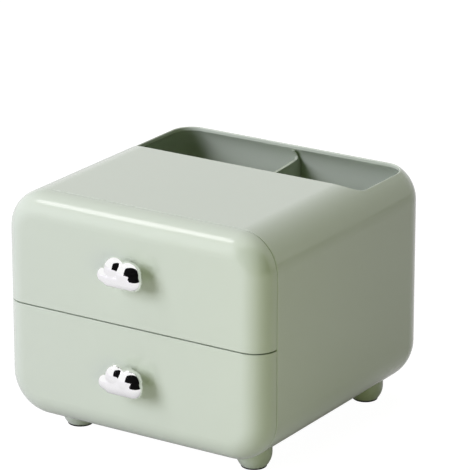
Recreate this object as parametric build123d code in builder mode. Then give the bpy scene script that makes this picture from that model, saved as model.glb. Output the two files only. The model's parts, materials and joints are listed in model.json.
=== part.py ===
from build123d import *

import os
from math import sqrt

# Desk-top brush holder with two drawers.
#
# A rounded casing stands on four short feet. Its back half is an open-topped compartment,
# parted by an upright divider. Its front half holds two drawers, one above the other, whose
# faces together make the whole front of the body. Each drawer has a puffy cloud-shaped knob.
#
# The frame: X to the right, Y to the back, Z up, millimetres. The origin is on the surface
# that the feet stand on, under the middle of the whole object, knobs included.

# Body
width = 170.0  # side to side
body_height = 130.3  # without the feet
depth = 176.0  # drawer faces to the casing's back
wall = 2.2  # casing and drawer faces
back_radius = 21.0  # rounding round the casing's back
top_corner_step = 1.3  # the long top corners are this much rounder than the back
low_corner_step = 3.5  # the long lower corners are this much rounder than the back
face_radius = 13.4  # rounding round the drawer faces
face_land = 0.7  # straight rim behind that rounding
seam_gap = 0.5  # drawer faces to casing
split_gap = 0.7  # upper face to lower face
split_height = 66.3  # middle of that gap, above the body's underside
edge_break = 0.35  # small rounding along the seams

# Brush opening in the casing's top
opening_front = 107.0  # drawer faces to the opening's front edge
opening_margin = 9.3  # opening to the casing's sides and back
opening_corner = 13.0  # plan radius of its corners
rim_radius = 0.6  # rounded rim of the opening
rim_underside_radius = 0.8  # rounding under that rim, inside

# Pieces fixed inside the casing
fit = 0.2  # clearance round fixed pieces
shelf_thickness = 2.6
partition_thickness = 2.2
partition_setback = 0.6  # its back, in front of the opening's edge
divider_thickness = 1.8
divider_drop = 15.2  # middle of the divider's top edge, below the body's top
divider_sag = 2.4  # that edge rises this much to its ends
divider_horn = 1.0  # width of its back end, which turns up along the wall
divider_rise = 5.5  # height of that end
divider_turn = 1.5  # radius at its foot
rib_reach = 2.6  # ribs that hold the shelf, the partition and the divider
rib_thickness = 1.8
rib_margin = 6.0  # upright ribs stop this far from the curved corners
slot_drop = 22.0  # the divider's ribs stop this far below its top edge

# Drawers
floor_runner_height = 2.6  # ribs that the lower drawer slides on
shelf_runner_height = 1.2  # ribs that the upper drawer slides on
runner_width = 2.0
runner_spread = 90.0  # between a drawer's two runners
slide_gap = 0.3  # tray to runners
tray_wall = 1.8
tray_floor = 2.0
tray_side_gap = 6.4  # tray to the casing's sides
tray_corner_step = 10.0  # tray's lower corners are this much tighter than the casing's inside
tray_corner_gap = 0.8  # upper tray's rim to the casing's curved corner
tray_back_corner = 5.0  # upright corners at the tray's back
tray_back_gap = 2.2  # tray to the partition
lower_rim_gap = 6.0  # lower tray's rim to the shelf
rim_break = 0.6  # rounding of a tray's rim
plate_thickness = 2.0  # tray's front plate, inside the drawer face

# Stops: a lip that hangs at the front of each bay catches a tab on the tray's back
lip_width = 24.0
lip_thickness = 2.0
lip_setback = 14.0  # lip, behind the casing's front edge
lip_clear = 1.6  # lip to the tray's rim
tab_width = 20.0
tab_clear = 0.6  # tab to what is above it

# Knobs
upper_knob_height = 100.0  # above the body's underside
lower_knob_height = 38.6
knob_thickness = 11.0
neck_length = 3.0
neck_radius = 4.4
left_lobe = (-9.6, -2.3, 4.6)  # across, up and radius, from the knob's screw
middle_lobe = (-3.0, 0.8, 7.4)
right_lobe = (5.4, 0.5, 6.7)
lobe_fullness = 0.8  # side lobes' thickness, as a share of the middle one's
lobe_roundness = 0.8  # a lobe's edge radius, as a share of its half thickness
bar_radius = 5.1  # round bar that joins the lobes below
bar_left = -7.3  # its ends' centres, across from the screw
bar_right = 8.4
bar_drop = 3.2  # its middle, below the screw

# Feet
foot_height = 12.7
foot_radius = 10.2
foot_sole_radius = 7.4
foot_straight = 4.0  # upright part under the body
foot_side_setback = 27.0  # feet, inside the casing's sides
front_foot_setback = 34.0  # front feet, behind the drawer faces
back_foot_setback = 23.0  # back feet, in front of the casing's back
pad_radius = 6.7
pad_thickness = 2.2
pad_proud = 1.0  # pad, below the foot's sole
pad_fit = 0.1  # clearance round the pad
pad_edge = 0.4  # rounding of its lower edge
seat_margin = 0.3  # casing's flat seat, round the top of a foot

# Screws: shank radius, head radius, head height
knob_screw = (2.0, 3.8, 2.2)
face_screw = (1.3, 2.8, 1.6)
foot_screw = (1.5, 3.0, 1.7)
screw_spread = 100.0  # between a drawer face's two screws
knob_bite = 8.0  # length of a screw in a knob
face_bite = 6.0  # length of a screw in a post
foot_bite = 7.0  # length of a screw in a foot
tip_clear = 1.0  # blind hole beyond a screw's tip
bore_clear = 0.2  # round a screw that passes through
thread_clear = 0.05  # round a screw that bites
face_post_radius = 3.4
knob_post_radius = 5.0
cross_width = 0.9  # cross recess in a screw's head
cross_depth = 1.1

# Places worked out from the sizes above
top_corner = back_radius + top_corner_step
low_corner = back_radius + low_corner_step
inner_half = width / 2 - wall
face_depth = face_radius + face_land
knob_reach = neck_length + knob_thickness
y_face = (knob_reach - depth) / 2
y_plate_back = y_face + face_depth
y_plate = y_plate_back - plate_thickness
y_casing = y_plate_back + seam_gap
y_back = y_face + depth
y_inner_back = y_back - wall
y_opening = y_face + opening_front
y_partition_back = y_opening - partition_setback
y_partition = y_partition_back - partition_thickness
y_tray_back = y_partition - tray_back_gap
y_lip = y_casing + lip_setback
z_under = foot_height
z_top = z_under + body_height
z_middle = z_under + body_height / 2
z_floor = z_under + wall
z_ceiling = z_top - wall
z_split = z_under + split_height
z_shelf = z_split - shelf_thickness / 2
z_shelf_top = z_shelf + shelf_thickness
z_lower_face_top = z_split - split_gap / 2
z_upper_face = z_split + split_gap / 2
z_upper_knob = z_under + upper_knob_height
z_lower_knob = z_under + lower_knob_height
tray_half = inner_half - tray_side_gap
tray_corner = low_corner - wall - tray_corner_step
z_lower_tray = z_floor + floor_runner_height + slide_gap
z_lower_rim = z_shelf - lower_rim_gap
z_upper_tray = z_shelf_top + shelf_runner_height + slide_gap
rim_overhang = max(tray_half - (width / 2 - top_corner), 0)
rim_reach = top_corner - wall - tray_corner_gap
z_upper_rim = z_top - top_corner + sqrt(rim_reach**2 - rim_overhang**2)
z_rib_low = z_under + low_corner + rib_margin
z_rib_high = z_top - top_corner - rib_margin
z_divider_top = z_top - divider_drop
foot_x = width / 2 - foot_side_setback
feet_places = {
    "front_left": (-foot_x, y_face + front_foot_setback),
    "front_right": (foot_x, y_face + front_foot_setback),
    "back_left": (-foot_x, y_back - back_foot_setback),
    "back_right": (foot_x, y_back - back_foot_setback),
}
far = 2 * (width + depth)  # longer than anything, for cutting tools


def body_form(inset, front, back, front_round=0.0, back_round=0.0):
    """The body's rounded form between two depths, drawn in by inset all round."""
    with BuildPart() as form:
        with BuildSketch(Plane.XZ.offset(-front)) as section:
            with Locations((0, z_middle)):
                Rectangle(width - 2 * inset, body_height - 2 * inset)
            fillet(section.vertices().group_by(Axis.Y)[-1], top_corner - inset)
            fillet(section.vertices().group_by(Axis.Y)[0], low_corner - inset)
        extrude(amount=front - back)
        if back_round > 0:
            fillet(form.faces().sort_by(Axis.Y)[-1].edges(), back_round)
        if front_round > 0:
            fillet(form.faces().sort_by(Axis.Y)[0].edges(), front_round)
    return form.part


def block(x_range, y_range, z_range, mode=Mode.ADD):
    """A plain block between three pairs of coordinates, in the part that is being made."""
    ranges = (x_range, y_range, z_range)
    with Locations(tuple((low + high) / 2 for low, high in ranges)):
        Box(*(high - low for low, high in ranges), mode=mode)


def mirrored_blocks(x_near, x_far, y_range, z_range):
    """Two like blocks, one each side of the middle."""
    block((x_near, x_far), y_range, z_range)
    block((-x_far, -x_near), y_range, z_range)


def runners(root, top):
    """A drawer's two runners, from a root sunk in what carries them up to their top."""
    near = (runner_spread - runner_width) / 2
    mirrored_blocks(near, near + runner_width, (y_casing + lip_setback / 2, y_partition - fit), (root, top))


def stop_lip(root, rim):
    """A stop lip that hangs from its root to just above a tray's rim."""
    block((-lip_width / 2, lip_width / 2), (y_lip, y_lip + lip_thickness), (rim + lip_clear, root))


def divider_slot(y_range):
    """Two upright ribs, one each side of the divider."""
    near = divider_thickness / 2 + fit
    mirrored_blocks(near, near + rib_thickness, y_range, (z_rib_low, z_divider_top - slot_drop))


def round_hole(plane, places, radius, length):
    """Round holes through the part that is being made, from a plane and along its normal."""
    with BuildSketch(plane) as outline:
        with Locations(*places):
            Circle(radius)
    extrude(outline.sketch, amount=length, dir=plane.z_dir, mode=Mode.SUBTRACT)


def screw(sizes, length):
    """A pan-head screw along +Z: its head's underside at z = 0 and its tip at z = length."""
    shank_radius, head_radius, head_height = sizes
    with BuildPart() as made:
        with BuildSketch():
            Circle(head_radius)
        extrude(amount=-head_height)
        fillet(made.faces().sort_by(Axis.Z)[0].edges(), head_height / 2)
        with BuildSketch(Plane.XY.offset(-head_height)):
            Rectangle(head_radius, cross_width)
            Rectangle(cross_width, head_radius)
        extrude(amount=cross_depth, mode=Mode.SUBTRACT)
        with BuildSketch():
            Circle(shank_radius)
        extrude(amount=length)
        chamfer(made.faces().sort_by(Axis.Z)[-1].edges(), shank_radius / 2)
    return made.part


# ---------------------------------------------------------------- casing
opening_back = y_back - opening_margin
opening_half = width / 2 - opening_margin


def on_rim(edge):
    """True for the edges where the brush opening meets the casing's outer or inner surface."""
    box = edge.bounding_box()
    in_length = box.min.Y > y_opening - 0.01 and box.max.Y < opening_back + 0.01
    in_width = box.min.X > -opening_half - 0.01 and box.max.X < opening_half + 0.01
    upright = box.size.X < 0.01 and box.size.Y < 0.01
    return in_length and in_width and not upright and box.min.Z > z_top - top_corner + 0.01


with BuildPart() as casing:
    add(body_form(0, y_casing, y_back, back_round=back_radius))
    fillet(casing.faces().sort_by(Axis.Y)[0].edges(), edge_break)
    # Flat seats for the feet
    with BuildSketch(Plane.XY.offset(z_under)):
        with Locations(*feet_places.values()):
            Circle(foot_radius + seat_margin)
    extrude(amount=wall)
    # Brush opening, with its rounded rim
    with BuildSketch(Plane.XY.offset(z_top - top_corner)):
        with Locations((0, (y_opening + opening_back) / 2)):
            RectangleRounded(2 * opening_half, opening_back - y_opening, opening_corner)
    extrude(amount=far, mode=Mode.SUBTRACT)
    fillet(casing.edges().filter_by(on_rim), rim_radius)
    # Hollow, open at the front
    add(body_form(wall, y_casing - far, y_inner_back, back_round=back_radius - wall), mode=Mode.SUBTRACT)
    fillet(casing.edges(Select.LAST).filter_by(on_rim), rim_underside_radius)
    # Holes for the foot screws, with flat places for their heads
    screw_seat = foot_screw[1] + seat_margin
    round_hole(Plane.XY.offset(z_floor), feet_places.values(), screw_seat, foot_screw[2])
    round_hole(Plane.XY.offset(z_under), feet_places.values(), foot_screw[0] + bore_clear, wall)
    # Ribs on the sides: under and over the shelf, and behind the partition
    near, root = inner_half - rib_reach, inner_half + wall / 2
    shelf_run = (y_casing + lip_setback / 2, y_partition - fit)
    mirrored_blocks(near, root, shelf_run, (z_shelf - rib_thickness, z_shelf))
    over_shelf = z_shelf_top + fit
    mirrored_blocks(near, root, shelf_run, (over_shelf, over_shelf + rib_thickness))
    y_stop = y_partition_back + fit
    mirrored_blocks(near, root, (y_stop, y_stop + rib_thickness), (z_rib_low, z_rib_high))
    divider_slot((y_inner_back - rib_reach, y_inner_back + wall / 2))
    runners(z_floor - wall / 2, z_floor + floor_runner_height)
    stop_lip(z_ceiling + wall / 2, z_upper_rim)

# ---------------------------------------------------------------- shelf, partition, divider
with BuildPart() as drawer_shelf:
    shelf_half = inner_half - fit
    block((-shelf_half, shelf_half), (y_casing + 2 * fit, y_partition - fit), (z_shelf, z_shelf_top))
    fillet(drawer_shelf.faces().sort_by(Axis.Y)[0].edges().filter_by(Axis.X), edge_break)
    runners(z_shelf_top - shelf_thickness / 2, z_shelf_top + shelf_runner_height)
    stop_lip(z_shelf + shelf_thickness / 2, z_lower_rim)

with BuildPart() as compartment_wall:
    add(body_form(wall + fit, y_partition, y_partition_back))
    divider_slot((y_partition + partition_thickness / 2, y_partition_back + rib_reach))

# The divider's top edge is a shallow arc, and its back end turns up along the casing's wall
inner_back_radius = back_radius - wall - fit
divider_front = y_partition_back + fit
divider_back = y_inner_back - fit
z_divider_ends = z_divider_top + divider_sag
horn_back = divider_back - divider_horn
horn_inset = wall + fit + divider_horn
horn_radius = inner_back_radius - divider_horn

with BuildPart() as above_divider:
    with BuildSketch(Plane.YZ.offset(-divider_thickness)):
        with BuildLine():
            lowest = ((divider_front + divider_back) / 2, z_divider_top)
            arc = ThreePointArc((divider_front, z_divider_ends), lowest, (divider_back, z_divider_ends))
            Polyline(arc @ 1, (divider_back, z_top), (divider_front, z_top), arc @ 0)
        make_face()
    extrude(amount=2 * divider_thickness)
    add(body_form(horn_inset, -far, horn_back, back_round=horn_radius), mode=Mode.INTERSECT)

with BuildPart() as brush_divider:
    half_thickness = divider_thickness / 2
    z_horn_top = z_divider_ends + divider_rise
    block((-half_thickness, half_thickness), (divider_front, divider_back), (z_under, z_horn_top))
    add(above_divider.part, mode=Mode.SUBTRACT)
    band = (z_divider_ends - divider_sag / 2, z_divider_ends + divider_sag / 2)
    fillet(brush_divider.edges().filter_by(Axis.X).filter_by_position(Axis.Z, *band), divider_turn)
    add(body_form(wall + fit, y_partition, divider_back, back_round=inner_back_radius), mode=Mode.INTERSECT)


# ---------------------------------------------------------------- drawers
def half_form(inset, front, back, front_round, low, high):
    """The part of the body's form that lies between two heights."""
    with BuildPart() as half:
        add(body_form(inset, front, back, front_round=front_round))
        block((-far, far), (-far, far), (low, high), mode=Mode.INTERSECT)
    return half.part


def drawer_face(low, high, split_side, z_knob):
    """A hollow drawer face with its screw posts; split_side is -1 where the split is below it."""

    def on_seam(edge):
        middle = edge.center()
        at_rear = abs(middle.Y - y_plate_back) < 0.001
        at_split = abs(middle.Z - (high if split_side > 0 else low)) < 0.001
        return at_rear != at_split

    inner_low = low + wall
    inner_high = high - wall
    inner_radius = face_radius - wall
    with BuildPart() as face:
        add(half_form(0, y_face, y_plate_back, face_radius, low, high))
        fillet(face.edges().filter_by(on_seam), edge_break)
        add(
            half_form(wall, y_face + wall, y_plate_back + wall, inner_radius, inner_low, inner_high),
            mode=Mode.SUBTRACT,
        )
        post_plane = Plane.XZ.offset(-y_plate)
        for spread, radius in ((screw_spread / 2, face_post_radius), (0, knob_post_radius)):
            with BuildSketch(post_plane):
                with Locations((-spread, z_knob), (spread, z_knob)):
                    Circle(radius)
            extrude(amount=y_plate - y_face - wall / 2)
        screw_places = [(-screw_spread / 2, z_knob), (screw_spread / 2, z_knob)]
        round_hole(post_plane, screw_places, face_screw[0] + thread_clear, face_bite + tip_clear)
        round_hole(post_plane, [(0, z_knob)], knob_screw[0] + bore_clear, far)
    return face.part


def tray_form(inset, low, high):
    """A tray's rounded form between two heights, drawn in by inset at its sides and back."""
    with BuildPart() as form:
        with BuildSketch(Plane.XZ.offset(-y_plate_back)) as section:
            with Locations((0, (low + high) / 2)):
                Rectangle(2 * (tray_half - inset), high - low)
            fillet(section.vertices().group_by(Axis.Y)[0], tray_corner - inset)
        extrude(amount=y_plate_back + inset - y_tray_back)
        back_edges = form.faces().sort_by(Axis.Y)[-1].edges()
        fillet(back_edges.sort_by(Axis.Z)[:-1], tray_back_corner - inset)
    return form.part


def drawer_tray(low, rim, ceiling, face_low, face_high, z_knob):
    """A drawer's tray, with its stop tab and the front plate that closes its hollow face."""
    margin = wall + fit
    with BuildPart() as tray:
        add(tray_form(0, low, rim))
        add(tray_form(tray_wall, low + tray_floor, rim), mode=Mode.SUBTRACT)
        rim_edges = tray.faces().sort_by(Axis.Z)[-1].edges()
        fillet(rim_edges.filter_by(lambda edge: edge.center().Y > y_plate_back + 0.001), rim_break)
        tab_root = rim - tray_wall
        tab_depth = (y_tray_back - tray_wall, y_tray_back)
        block((-tab_width / 2, tab_width / 2), tab_depth, (tab_root, ceiling - tab_clear))
        add(half_form(margin, y_plate, y_plate_back, 0, face_low + margin, face_high - margin))
        plate_back = Plane.XZ.offset(-y_plate_back)
        screw_places = [(-screw_spread / 2, z_knob), (screw_spread / 2, z_knob)]
        round_hole(plate_back, screw_places, face_screw[0] + bore_clear, plate_thickness)
        round_hole(plate_back, [(0, z_knob)], knob_screw[0] + bore_clear, plate_thickness)
    return tray.part


def lobe_outline(radius, half_thickness):
    """Half an oval of tangent arcs, in the sketch that is being made, that a lobe is turned from."""
    edge_radius = lobe_roundness * half_thickness
    reach = radius - edge_radius
    crown_radius = (reach**2 + half_thickness**2 - edge_radius**2) / (2 * (half_thickness - edge_radius))
    crown_middle = Vector(0, half_thickness - crown_radius)
    meeting = crown_middle + (Vector(reach, 0) - crown_middle).normalized() * crown_radius
    with BuildLine() as outline:
        edge_arc = TangentArc((radius, 0), meeting, tangent=(0, 1))
        TangentArc(meeting, (0, half_thickness), tangent=edge_arc % 1)
        mirror(about=Plane.XZ)
        Line((0, half_thickness), (0, -half_thickness))
    make_face(outline.edges())


def knob(z_knob):
    """A puffy cloud of three round lobes over a round bar, on a short neck."""
    y_middle = y_face - neck_length - knob_thickness / 2
    lobes = ((left_lobe, lobe_fullness), (middle_lobe, 1.0), (right_lobe, lobe_fullness))
    with BuildPart() as cloud:
        for (across, up, radius), fullness in lobes:
            middle = (across, y_middle, z_knob + up)
            with BuildSketch(Plane(middle)):
                lobe_outline(radius, fullness * knob_thickness / 2)
            revolve(axis=Axis(middle, (0, 1, 0)))
        middle = ((bar_left + bar_right) / 2, y_middle, z_knob - bar_drop)
        with BuildSketch(Plane(middle)):
            SlotCenterToCenter(bar_right - bar_left, 2 * bar_radius)
            Rectangle(far, far, align=(Align.CENTER, Align.MAX), mode=Mode.SUBTRACT)
        revolve(axis=Axis(middle, (1, 0, 0)))
        face_plane = Plane.XZ.offset(-y_face)
        with BuildSketch(face_plane):
            with Locations((0, z_knob)):
                Circle(neck_radius)
        extrude(amount=neck_length + knob_thickness / 2)
        round_hole(face_plane, [(0, z_knob)], knob_screw[0] + thread_clear, knob_bite + tip_clear)
    return cloud.part


def placed_screws(sizes, length, places):
    """Screws that point to the front, their heads on the back of a tray's front plate."""
    shape = screw(sizes, length)
    with BuildPart() as group:
        with Locations(*(Plane((x, y_plate_back, z), z_dir=(0, -1, 0)) for x, z in places)):
            add(shape)
    return group.part


drawers = {
    "upper": {
        "face": (z_upper_face, z_top),
        "split_side": -1,
        "tray": (z_upper_tray, z_upper_rim, z_ceiling),
        "knob": z_upper_knob,
    },
    "lower": {
        "face": (z_under, z_lower_face_top),
        "split_side": 1,
        "tray": (z_lower_tray, z_lower_rim, z_shelf),
        "knob": z_lower_knob,
    },
}
pieces = {}
for level, places in drawers.items():
    z_knob = places["knob"]
    screw_places = [(-screw_spread / 2, z_knob), (screw_spread / 2, z_knob)]
    pieces[f"{level}_drawer_face"] = drawer_face(*places["face"], places["split_side"], z_knob)
    pieces[f"{level}_drawer_tray"] = drawer_tray(*places["tray"], *places["face"], z_knob)
    pieces[f"{level}_knob"] = knob(z_knob)
    pieces[f"{level}_knob_screw"] = placed_screws(knob_screw, face_depth + knob_bite, [(0, z_knob)])
    pieces[f"{level}_face_screws"] = placed_screws(face_screw, plate_thickness + face_bite, screw_places)

# ---------------------------------------------------------------- feet
for corner, (x, y) in feet_places.items():
    with BuildPart() as foot:
        with BuildSketch(Plane((x, y, 0), x_dir=(1, 0, 0), z_dir=(0, -1, 0))):
            with BuildLine():
                bend = (foot_radius, foot_height - foot_straight)
                Polyline((0, pad_proud), (0, foot_height), (foot_radius, foot_height), bend)
                TangentArc(bend, (foot_sole_radius, pad_proud), tangent=(0, -1))
                Line((foot_sole_radius, pad_proud), (0, pad_proud))
            make_face()
        revolve(axis=Axis((x, y, 0), (0, 0, 1)))
        sole = Plane((x, y, pad_proud))
        round_hole(sole, [(0, 0)], pad_radius + pad_fit, pad_thickness - pad_proud)
        screw_end = foot_height - foot_bite - tip_clear
        round_hole(Plane((x, y, screw_end)), [(0, 0)], foot_screw[0] + thread_clear, foot_bite + tip_clear)
    pieces[f"{corner}_foot"] = foot.part

    with BuildPart() as pad:
        with BuildSketch():
            with Locations((x, y)):
                Circle(pad_radius)
        extrude(amount=pad_thickness)
        fillet(pad.faces().sort_by(Axis.Z)[0].edges(), pad_edge)
    pieces[f"{corner}_foot_pad"] = pad.part

foot_screw_shape = screw(foot_screw, wall + foot_bite)
with BuildPart() as foot_screws:
    with Locations(*(Plane((x, y, z_floor), z_dir=(0, 0, -1)) for x, y in feet_places.values())):
        add(foot_screw_shape)
pieces["foot_screws"] = foot_screws.part

# ---------------------------------------------------------------- files
pieces["casing"] = casing.part
pieces["drawer_shelf"] = drawer_shelf.part
pieces["compartment_wall"] = compartment_wall.part
pieces["brush_divider"] = brush_divider.part

os.makedirs("parts", exist_ok=True)
for name, piece in pieces.items():
    piece.label = name
    export_step(piece, f"parts/{name}.step")
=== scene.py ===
import json
import math

import bmesh
import bpy
from mathutils import Matrix, Vector


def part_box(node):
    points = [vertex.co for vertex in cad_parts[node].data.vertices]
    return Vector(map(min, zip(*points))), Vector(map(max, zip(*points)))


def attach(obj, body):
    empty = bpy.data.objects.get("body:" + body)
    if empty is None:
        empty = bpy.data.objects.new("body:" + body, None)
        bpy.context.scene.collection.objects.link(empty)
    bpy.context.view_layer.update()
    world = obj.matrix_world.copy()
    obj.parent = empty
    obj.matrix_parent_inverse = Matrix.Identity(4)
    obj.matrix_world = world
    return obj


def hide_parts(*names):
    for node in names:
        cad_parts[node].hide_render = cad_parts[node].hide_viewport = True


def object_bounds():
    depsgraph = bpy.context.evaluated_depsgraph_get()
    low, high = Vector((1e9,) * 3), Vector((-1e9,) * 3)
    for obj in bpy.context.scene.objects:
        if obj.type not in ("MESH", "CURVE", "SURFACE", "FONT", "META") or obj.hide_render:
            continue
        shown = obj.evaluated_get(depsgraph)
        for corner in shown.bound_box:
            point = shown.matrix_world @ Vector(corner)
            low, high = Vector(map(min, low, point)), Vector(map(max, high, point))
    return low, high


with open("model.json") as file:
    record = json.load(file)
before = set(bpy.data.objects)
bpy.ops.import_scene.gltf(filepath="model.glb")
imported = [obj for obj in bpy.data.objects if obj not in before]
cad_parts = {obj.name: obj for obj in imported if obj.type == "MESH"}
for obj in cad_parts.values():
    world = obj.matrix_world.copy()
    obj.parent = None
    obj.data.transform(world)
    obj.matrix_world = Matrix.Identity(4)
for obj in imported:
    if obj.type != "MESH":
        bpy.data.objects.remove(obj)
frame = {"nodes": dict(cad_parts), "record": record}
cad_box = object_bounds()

MM = 0.001

# ---------------------------------------------------------------- places, from the frame
FACE_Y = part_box("upper_drawer_face")[0].y
BODY_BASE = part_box("casing")[0].z
FLOOR_Z = cad_box[0][2]

# ---------------------------------------------------------------- camera
VIEW_AZIMUTH = 32.84
VIEW_ELEVATION = 18.80
VIEW_DISTANCE = 1852 * MM
AIM_BEHIND_FACE = 80 * MM
AIM_ABOVE_BASE = 99.4 * MM
AIM_ACROSS = 16.0 * MM
LENS = 256.2
SENSOR = 36.0


def add_camera():
    """The camera, at the viewing angle, distance and lens that the photograph was taken with."""
    azimuth, elevation = math.radians(VIEW_AZIMUTH), math.radians(VIEW_ELEVATION)
    level = math.cos(elevation)
    back = Vector((math.sin(azimuth) * level, -math.cos(azimuth) * level, math.sin(elevation)))
    aim = Vector((AIM_ACROSS, FACE_Y + AIM_BEHIND_FACE, BODY_BASE + AIM_ABOVE_BASE))
    data = bpy.data.cameras.new("camera")
    data.lens = LENS
    data.sensor_width = SENSOR
    camera = bpy.data.objects.new("camera", data)
    camera.location = aim + back * VIEW_DISTANCE
    camera.rotation_euler = (-back).to_track_quat("-Z", "Y").to_euler()
    bpy.context.scene.collection.objects.link(camera)
    bpy.context.scene.camera = camera


# ---------------------------------------------------------------- shader maths
class Value:
    """A shader socket that Python's operators work on, one Math node to each operation."""

    def __init__(self, nodes, socket):
        self.nodes = nodes
        self.socket = socket

    def maths(self, operation, first, second):
        return self.nodes.make(
            "ShaderNodeMath", {"operation": operation}, {0: first, 1: second}
        )

    def __add__(self, other):
        return self.maths("ADD", self, other)

    def __rsub__(self, other):
        return self.maths("SUBTRACT", other, self)

    def __mul__(self, other):
        return self.maths("MULTIPLY", self, other)

    def __pow__(self, other):
        return self.maths("POWER", self, other)

    __radd__ = __add__
    __rmul__ = __mul__

    def clamp(self, low=0.0, high=1.0):
        return self.maths("MAXIMUM", self.maths("MINIMUM", self, high), low)


class Nodes:
    """A material's or the world's node tree, cleared and ready to be filled."""

    def __init__(self, tree):
        self.tree = tree
        tree.nodes.clear()

    def make(self, kind, settings, sockets, output=0):
        """One node: its settings first, then values or links for its sockets, by name or place."""
        node = self.tree.nodes.new(kind)
        for name, value in settings.items():
            setattr(node, name, value)
        for place, value in sockets.items():
            if isinstance(value, Value):
                self.tree.links.new(value.socket, node.inputs[place])
            else:
                node.inputs[place].default_value = value
        return Value(self, node.outputs[output]) if node.outputs else None

    def mix(self, factor, first, second):
        """Two colours mixed by a factor. These places are the Mix node's sockets for colours."""
        sockets = {0: factor, 6: first, 7: second}
        return self.make("ShaderNodeMix", {"data_type": "RGBA"}, sockets, output=2)

    def noise(self, place, waves, detail=2.0, roughness=0.5):
        """A noise between 0 and 1, with so many waves to the metre."""
        sockets = {"Vector": place, "Scale": waves, "Detail": detail, "Roughness": roughness}
        return self.make("ShaderNodeTexNoise", {}, sockets)

    def bump(self, relief, height, strength):
        """A surface raised by up to its height where the relief is 1."""
        sockets = {"Strength": strength, "Distance": height, "Height": relief}
        return self.make("ShaderNodeBump", {}, sockets)

    def place(self):
        """Object coordinates, which are the frame's, in metres."""
        return self.make("ShaderNodeTexCoord", {}, {}, output="Object")

    def seen(self):
        """1 for what the camera sees directly, and 1 for what a gloss or clear piece shows."""
        rays = ("Is Camera Ray", "Is Glossy Ray", "Is Transmission Ray")
        camera, glossy, through = (
            self.make("ShaderNodeLightPath", {}, {}, output=ray) for ray in rays
        )
        return camera, (glossy + through).clamp()

    def finish(self, sockets):
        """Ends a material in one Principled shader."""
        shader = self.make("ShaderNodeBsdfPrincipled", {}, sockets)
        self.make("ShaderNodeOutputMaterial", {}, {"Surface": shader})


def material(name):
    made = bpy.data.materials.new(name)
    made.use_nodes = True
    return made, Nodes(made.node_tree)


# ---------------------------------------------------------------- materials
PLASTIC_IOR = 1.5
RUBBER_IOR = 1.5

SAGE = (0.515, 0.60, 0.465, 1.0)
SAGE_THIN = (0.535, 0.618, 0.485, 1.0)
SAGE_DRIFT_WAVES = 9.0
PEEL_WAVES = 420.0
PEEL_HEIGHT = 0.012 * MM
WIPED_WAVES = 38.0
GLOSS_ROUGHNESS = 0.18
WIPED_ROUGHNESS = 0.08
COAT_WEIGHT = 0.55
WIPED_COAT_LOSS = 0.1
COAT_ROUGHNESS = 0.04

INNER_SAGE = (0.475, 0.555, 0.42, 1.0)
INNER_SAGE_THIN = (0.50, 0.578, 0.445, 1.0)
INNER_DRIFT_WAVES = 14.0
MOULD_GRAIN_WAVES = 2600.0
MOULD_GRAIN_HEIGHT = 0.02 * MM
SATIN_ROUGHNESS = 0.42
MOULD_GRAIN_ROUGHNESS = 0.12

PLATING = (0.94, 0.94, 0.935, 1.0)
PLATING_BRIGHT = (0.98, 0.98, 0.98, 1.0)
CASTING_WAVES = 160.0
CASTING_WAVE_HEIGHT = 0.03 * MM
POLISH_WAVES = 900.0
CHROME_ROUGHNESS = 0.03
POLISH_ROUGHNESS = 0.05

RUBBER = (0.005, 0.005, 0.005, 1.0)
RUBBER_DUSTY = (0.03, 0.03, 0.028, 1.0)
RUBBER_GRAIN_WAVES = 1800.0
RUBBER_GRAIN_HEIGHT = 0.05 * MM
DUST_WAVES = 260.0
DUST_FALL = 3
RUBBER_ROUGHNESS = 0.72
RUBBER_GRAIN_ROUGHNESS = 0.18

ZINC = (0.55, 0.56, 0.58, 1.0)
ZINC_BRIGHT = (0.70, 0.70, 0.70, 1.0)
ZINC_CLOUD_WAVES = 700.0
ZINC_CLOUD_HEIGHT = 0.02 * MM
ZINC_ROUGHNESS = 0.28
ZINC_CLOUD_ROUGHNESS = 0.2


def glossy_plastic():
    """Moulded gloss plastic: faint drifts of colour, fine orange peel and dull wiped patches."""
    made, nodes = material("sage_gloss_plastic")
    place = nodes.place()
    drift = nodes.noise(place, SAGE_DRIFT_WAVES, detail=3.0)
    peel = nodes.noise(place, PEEL_WAVES, roughness=0.4)
    wiped = nodes.noise(place, WIPED_WAVES, detail=4.0, roughness=0.6)
    nodes.finish({
        "IOR": PLASTIC_IOR,
        "Coat IOR": PLASTIC_IOR,
        "Coat Roughness": COAT_ROUGHNESS,
        "Base Color": nodes.mix(drift.clamp(), SAGE, SAGE_THIN),
        "Roughness": GLOSS_ROUGHNESS + WIPED_ROUGHNESS * wiped,
        "Coat Weight": COAT_WEIGHT - WIPED_COAT_LOSS * wiped,
        "Normal": nodes.bump(peel, PEEL_HEIGHT, strength=0.5),
    })
    return made


def satin_plastic():
    """The same plastic from a satin mould, for the pieces inside."""
    made, nodes = material("sage_satin_plastic")
    place = nodes.place()
    drift = nodes.noise(place, INNER_DRIFT_WAVES, detail=3.0)
    grain = nodes.noise(place, MOULD_GRAIN_WAVES, roughness=0.6)
    nodes.finish({
        "IOR": PLASTIC_IOR,
        "Base Color": nodes.mix(drift.clamp(), INNER_SAGE, INNER_SAGE_THIN),
        "Roughness": SATIN_ROUGHNESS + MOULD_GRAIN_ROUGHNESS * grain,
        "Normal": nodes.bump(grain, MOULD_GRAIN_HEIGHT, strength=0.6),
    })
    return made


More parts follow.
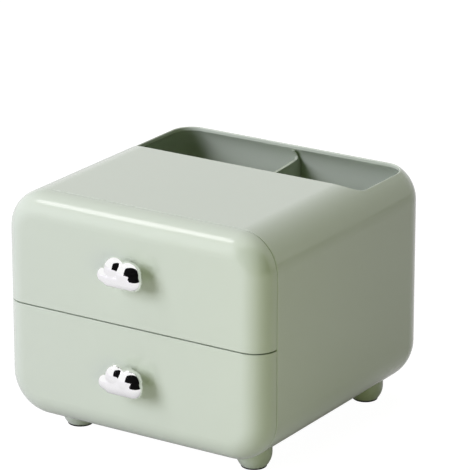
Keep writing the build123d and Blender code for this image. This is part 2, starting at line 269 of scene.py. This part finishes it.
def chrome():
    """Bright plating over a polished casting: slightly wavy, with a fine haze of polishing."""
    made, nodes = material("bright_chrome")
    place = nodes.place()
    waves = nodes.noise(place, CASTING_WAVES, roughness=0.4)
    haze = nodes.noise(place, POLISH_WAVES, detail=3.0, roughness=0.6)
    nodes.finish({
        "Metallic": 1.0,
        "Base Color": nodes.mix(haze.clamp(), PLATING, PLATING_BRIGHT),
        "Roughness": CHROME_ROUGHNESS + POLISH_ROUGHNESS * haze,
        "Normal": nodes.bump(waves, CASTING_WAVE_HEIGHT, strength=0.5),
    })
    return made


def pad_rubber():
    """Matt black rubber with a fine grain and a little pale dust."""
    made, nodes = material("black_rubber")
    place = nodes.place()
    grain = nodes.noise(place, RUBBER_GRAIN_WAVES, detail=3.0, roughness=0.6)
    dust = nodes.noise(place, DUST_WAVES, detail=4.0, roughness=0.6)
    nodes.finish({
        "IOR": RUBBER_IOR,
        "Base Color": nodes.mix(dust ** DUST_FALL, RUBBER, RUBBER_DUSTY),
        "Roughness": RUBBER_ROUGHNESS + RUBBER_GRAIN_ROUGHNESS * grain,
        "Normal": nodes.bump(grain, RUBBER_GRAIN_HEIGHT, strength=0.7),
    })
    return made


def screw_steel():
    """Zinc-plated steel, slightly cloudy."""
    made, nodes = material("zinc_plated_steel")
    cloud = nodes.noise(nodes.place(), ZINC_CLOUD_WAVES, detail=3.0, roughness=0.6)
    nodes.finish({
        "Metallic": 1.0,
        "Base Color": nodes.mix(cloud.clamp(), ZINC, ZINC_BRIGHT),
        "Roughness": ZINC_ROUGHNESS + ZINC_CLOUD_ROUGHNESS * cloud,
        "Normal": nodes.bump(cloud, ZINC_CLOUD_HEIGHT, strength=0.5),
    })
    return made


def dress_nodes():
    """Gives every CAD node the material of its slot, and returns the materials by slot."""
    by_slot = {
        "body_plastic": glossy_plastic(),
        "inner_plastic": satin_plastic(),
        "knob_chrome": chrome(),
        "pad_rubber": pad_rubber(),
        "screw_steel": screw_steel(),
    }
    for entry in frame["record"]["subparts"]:
        node = frame["nodes"][entry["node"]]
        node.data.materials.clear()
        node.data.materials.append(by_slot[entry["material_slot"]])
    return by_slot


# ---------------------------------------------------------------- pieces
ROUND_SEGMENTS = 64
BALL_RINGS = 40


def add_piece(mesh, name, made):
    """An object of the scene with one material, from a finished bmesh."""
    data = bpy.data.meshes.new(name)
    mesh.to_mesh(data)
    mesh.free()
    data.materials.append(made)
    piece = bpy.data.objects.new(name, data)
    bpy.context.scene.collection.objects.link(piece)
    return piece


# ---------------------------------------------------------------- knobs, in millimetres
LOBES = (
    # across, up and radius, all from the knob's screw, half the thickness, and degrees of turn
    # to the right
    (-9.5, -2.2, 4.8, 4.7, 0),
    (-3.1, 2.1, 6.8, 5.3, 0),
    (5.4, -0.2, 7.6, 5.2, 12),
)
BELLY_LEFT, BELLY_RIGHT = -5.8, 7.9
BELLY_DROP = 2.8
BELLY_RADIUS = 5.9
BELLY_DEPTH = 5.0
KNOB_FRONT_GAP = 0.05
NECK_RADIUS = 4.4
NECK_FOOT_RADIUS = 5.2
VOXEL = 0.3
SOFTENING_ROUNDS = 16
SOFTENING_FACTOR = 0.5


def lay_ball(mesh, half_sizes):
    """A ball at the origin, stretched to its half sizes. Returns its vertices."""
    made = bmesh.ops.create_uvsphere(
        mesh, u_segments=ROUND_SEGMENTS, v_segments=BALL_RINGS, radius=1.0
    )
    bmesh.ops.scale(mesh, verts=made["verts"], vec=half_sizes)
    return made["verts"]


def lay_lobe(mesh, lobe, y_middle):
    """One puffy lobe of the cloud, its front turned to the right by its degrees."""
    across, up, radius, half_thickness, turn = lobe
    verts = lay_ball(mesh, (radius, half_thickness, radius))
    bmesh.ops.rotate(mesh, verts=verts, matrix=Matrix.Rotation(math.radians(turn), 3, "Z"))
    bmesh.ops.translate(mesh, verts=verts, vec=(across, y_middle, up))


def lay_belly(mesh, y_middle):
    """The long rounded bottom of the cloud: a ball drawn out sideways."""
    verts = lay_ball(mesh, (BELLY_RADIUS, BELLY_DEPTH, BELLY_RADIUS))
    right = [vert for vert in verts if vert.co.x > 0]
    left = [vert for vert in verts if vert.co.x <= 0]
    bmesh.ops.translate(mesh, verts=right, vec=(BELLY_RIGHT, 0, 0))
    bmesh.ops.translate(mesh, verts=left, vec=(BELLY_LEFT, 0, 0))
    bmesh.ops.translate(mesh, verts=verts, vec=(0, y_middle, -BELLY_DROP))


def lay_neck(mesh, y_face, y_middle):
    """The short neck, a little wider where it meets the drawer face."""
    length = y_face - y_middle
    along_y = Matrix.Rotation(math.radians(90), 4, "X")
    bmesh.ops.create_cone(
        mesh,
        cap_ends=True,
        segments=ROUND_SEGMENTS,
        radius1=NECK_FOOT_RADIUS,
        radius2=NECK_RADIUS,
        depth=length,
        matrix=Matrix.Translation((0, y_middle + length / 2, 0)) @ along_y,
    )


def melt_together(mesh, name):
    """One skin over shapes that run into each other, as a casting has."""
    data = bpy.data.meshes.new(name + "_rough")
    mesh.to_mesh(data)
    mesh.free()
    rough = bpy.data.objects.new(name + "_rough", data)
    bpy.context.scene.collection.objects.link(rough)
    remesh = rough.modifiers.new("skin", "REMESH")
    remesh.mode = "VOXEL"
    remesh.voxel_size = VOXEL
    evaluated = rough.evaluated_get(bpy.context.evaluated_depsgraph_get())
    skin = bpy.data.meshes.new_from_object(evaluated)
    bpy.data.objects.remove(rough)
    bpy.data.meshes.remove(data)
    melted = bmesh.new()
    melted.from_mesh(skin)
    bpy.data.meshes.remove(skin)
    return melted


def reach(mesh):
    """Lowest and highest corner of a bmesh."""
    places = [vert.co for vert in mesh.verts]
    return [
        Vector(pick(place[axis] for place in places) for axis in range(3)) for pick in (min, max)
    ]


def soften(mesh):
    """Rounds the creases off, then gives the shape back the reach that the rounding took."""
    low, high = reach(mesh)
    for _ in range(SOFTENING_ROUNDS):
        bmesh.ops.smooth_vert(
            mesh,
            verts=mesh.verts,
            factor=SOFTENING_FACTOR,
            use_axis_x=True,
            use_axis_y=True,
            use_axis_z=True,
        )
    soft_low, soft_high = reach(mesh)
    growth = [(high[i] - low[i]) / (soft_high[i] - soft_low[i]) for i in range(3)]
    bmesh.ops.translate(mesh, verts=mesh.verts, vec=-soft_low)
    bmesh.ops.scale(mesh, verts=mesh.verts, vec=growth)
    bmesh.ops.translate(mesh, verts=mesh.verts, vec=low)


def add_knob(level, plating):
    """A puffy chrome cloud that stands for the knob node of one drawer."""
    node = f"{level}_knob"
    low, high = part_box(node)
    screw_low, screw_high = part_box(f"{level}_knob_screw")
    z_screw = (screw_low.z + screw_high.z) / 2 / MM
    y_front, y_face = low.y / MM, high.y / MM
    thickest = max(half_thickness for _, _, _, half_thickness, _ in LOBES)
    y_middle = y_front + KNOB_FRONT_GAP + thickest
    mesh = bmesh.new()
    for lobe in LOBES:
        lay_lobe(mesh, lobe, y_middle)
    lay_belly(mesh, y_middle)
    lay_neck(mesh, y_face, y_middle)
    melted = melt_together(mesh, node)
    soften(melted)
    bmesh.ops.translate(melted, verts=melted.verts, vec=(0, 0, z_screw))
    bmesh.ops.scale(melted, verts=melted.verts, vec=(MM, MM, MM))
    bmesh.ops.recalc_face_normals(melted, faces=melted.faces)
    knob = add_piece(melted, f"{level}_cloud_knob", plating)
    for face in knob.data.polygons:
        face.use_smooth = True
    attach(knob, f"{level}_drawer")
    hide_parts(node)


# ---------------------------------------------------------------- sole pads
PAD_SECTION = (
    # out from the pad's middle and up from the floor, in millimetres, from the dished sole to the
    # top of the plug
    (0.0, 0.35),
    (4.6, 0.35),
    (5.2, 0.0),
    (7.0, 0.0),
    (7.2, 0.2),
    (7.2, 1.0),
    (6.7, 1.0),
    (6.7, 2.2),
    (0.0, 2.2),
)
MERGE_REACH = 0.001 * MM


def add_pad(corner, rubber):
    """A black pad with a flange just inside the foot's sole, a dished underside and a plug."""
    node = f"{corner}_foot_pad"
    low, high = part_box(node)
    middle = (low + high) / 2
    mesh = bmesh.new()
    section = [mesh.verts.new((out * MM, 0, up * MM)) for out, up in PAD_SECTION]
    edges = [mesh.edges.new(pair) for pair in zip(section, section[1:])]
    bmesh.ops.spin(
        mesh,
        geom=section + edges,
        cent=(0, 0, 0),
        axis=(0, 0, 1),
        angle=math.tau,
        steps=ROUND_SEGMENTS,
        use_merge=True,
    )
    bmesh.ops.remove_doubles(mesh, verts=mesh.verts, dist=MERGE_REACH)
    bmesh.ops.recalc_face_normals(mesh, faces=mesh.faces)
    bmesh.ops.translate(mesh, verts=mesh.verts, vec=(middle.x, middle.y, FLOOR_Z))
    pad = add_piece(mesh, f"{corner}_sole_pad", rubber)
    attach(pad, "holder_body")
    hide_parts(node)


# ---------------------------------------------------------------- floor and dark card
FLOOR_HALF = 6.0
FLOOR_GREY = (0.5, 0.5, 0.5, 1.0)
WHITE = (1.0, 1.0, 1.0, 1.0)
FLOOR_GLOW = 1.4
GLOW_SEEN = 0.7
GLOW_MIRRORED = 0.45
# painted shade: how far from the object the floor's glow, as a gloss shows it, is dimmed by
# occlusion
PAINTED_SHADE_REACH = 0.12
PAINTED_SHADE_SAMPLES = 8

CARD_BLACK = (0.01, 0.01, 0.01, 1.0)
CARD_WAY = math.radians(44)
CARD_DISTANCE = 0.80
CARD_WIDTH, CARD_HEIGHT = 2.8, 1.5


def add_floor():
    """A plain pale floor, white to the camera. It keeps the shadow, and where a gloss shows it,
    its glow is dimmed near the object by ambient occlusion, as painted shade."""
    mesh = bmesh.new()
    bmesh.ops.create_grid(mesh, x_segments=1, y_segments=1, size=FLOOR_HALF)
    bmesh.ops.translate(mesh, verts=mesh.verts, vec=(0, 0, FLOOR_Z))
    made, nodes = material("pale_floor")
    matt = nodes.make("ShaderNodeBsdfDiffuse", {}, {"Color": FLOOR_GREY})
    glow = nodes.make("ShaderNodeEmission", {}, {"Color": WHITE, "Strength": FLOOR_GLOW})
    camera, mirrored = nodes.seen()
    painted_shade_open = nodes.make(
        "ShaderNodeAmbientOcclusion",
        {"samples": PAINTED_SHADE_SAMPLES},
        {"Distance": PAINTED_SHADE_REACH},
        output="AO",
    )
    # painted shade: ambient occlusion dims the floor's glow near the object where a gloss shows it
    share = GLOW_SEEN * camera + GLOW_MIRRORED * mirrored * painted_shade_open
    mixed = nodes.make("ShaderNodeMixShader", {}, {0: share, 1: matt, 2: glow})
    nodes.make("ShaderNodeOutputMaterial", {}, {"Surface": mixed})
    floor = add_piece(mesh, "floor", made)


def add_dark_card():
    """A matt black card at the front right, which only shows in the plating and the gloss."""
    mesh = bmesh.new()
    bmesh.ops.create_grid(mesh, x_segments=1, y_segments=1, size=1.0)
    bmesh.ops.scale(mesh, verts=mesh.verts, vec=(CARD_WIDTH / 2, CARD_HEIGHT / 2, 1))
    upright = Matrix.Rotation(math.radians(90), 3, "X")
    bmesh.ops.rotate(mesh, verts=mesh.verts, matrix=upright)
    middle = (0, -CARD_DISTANCE, FLOOR_Z + CARD_HEIGHT / 2)
    bmesh.ops.translate(mesh, verts=mesh.verts, vec=middle)
    bmesh.ops.rotate(mesh, verts=mesh.verts, matrix=Matrix.Rotation(CARD_WAY, 3, "Z"))
    made, nodes = material("black_card")
    matt = nodes.make("ShaderNodeBsdfDiffuse", {}, {"Color": CARD_BLACK})
    nodes.make("ShaderNodeOutputMaterial", {}, {"Surface": matt})
    card = add_piece(mesh, "dark_card", made)
    card.visible_camera = card.visible_diffuse = card.visible_shadow = False


# ---------------------------------------------------------------- light
BODY_MIDDLE = (0, 0, 0.07)
SOFTBOXES = (
    # name, place and aim in metres, side in metres, watts, colour, and whether a gloss shows it
    ("key", (-1.4, -2.1, 1.1), BODY_MIDDLE, 1.6, 86.0, (0.86, 0.80, 1.0), False),
    ("overhead", (-0.2, 0.2, 2.2), BODY_MIDDLE, 1.6, 19.0, (0.97, 0.94, 1.0), False),
    ("edge", (-1.02, -0.68, 1.63), BODY_MIDDLE, 0.5, 3.4, (1.0, 0.94, 1.0), True),
    ("fill", (0.38, -0.42, 0.10), (0.05, -0.05, 0.07), 0.3, 0.56, (0.95, 1.0, 0.5), False),
)
AMBIENT = (1.0, 1.0, 0.35, 1.0)
AMBIENT_STRENGTH = 0.06


def add_softbox(name, place, aim, side, power, colour, mirrored):
    """A square soft light. One that isn't mirrored only lights, and doesn't show in a gloss."""
    data = bpy.data.lights.new(name, "AREA")
    data.shape = "SQUARE"
    data.size = side
    data.energy = power
    data.color = colour
    lamp = bpy.data.objects.new(name, data)
    lamp.location = place
    lamp.rotation_euler = (Vector(aim) - Vector(place)).to_track_quat("-Z", "Y").to_euler()
    lamp.visible_glossy = mirrored
    bpy.context.scene.collection.objects.link(lamp)


def light_world():
    """White where it is seen, and a dim even light on everything."""
    world = bpy.data.worlds.new("studio")
    bpy.context.scene.world = world
    world.use_nodes = True
    nodes = Nodes(world.node_tree)
    white = nodes.make("ShaderNodeBackground", {}, {"Color": WHITE, "Strength": 1.0})
    around = nodes.make(
        "ShaderNodeBackground", {}, {"Color": AMBIENT, "Strength": AMBIENT_STRENGTH}
    )
    camera, mirrored = nodes.seen()
    share = (camera + mirrored).clamp()
    mixed = nodes.make("ShaderNodeMixShader", {}, {0: share, 1: around, 2: white})
    nodes.make("ShaderNodeOutputWorld", {}, {"Surface": mixed})


add_camera()
materials = dress_nodes()
for level in ("upper", "lower"):
    add_knob(level, materials["knob_chrome"])
for corner in ("front_left", "front_right", "back_left", "back_right"):
    add_pad(corner, materials["pad_rubber"])
add_floor()
add_dark_card()
light_world()
for softbox in SOFTBOXES:
    add_softbox(*softbox)
bpy.context.scene.view_settings.view_transform = "Standard"
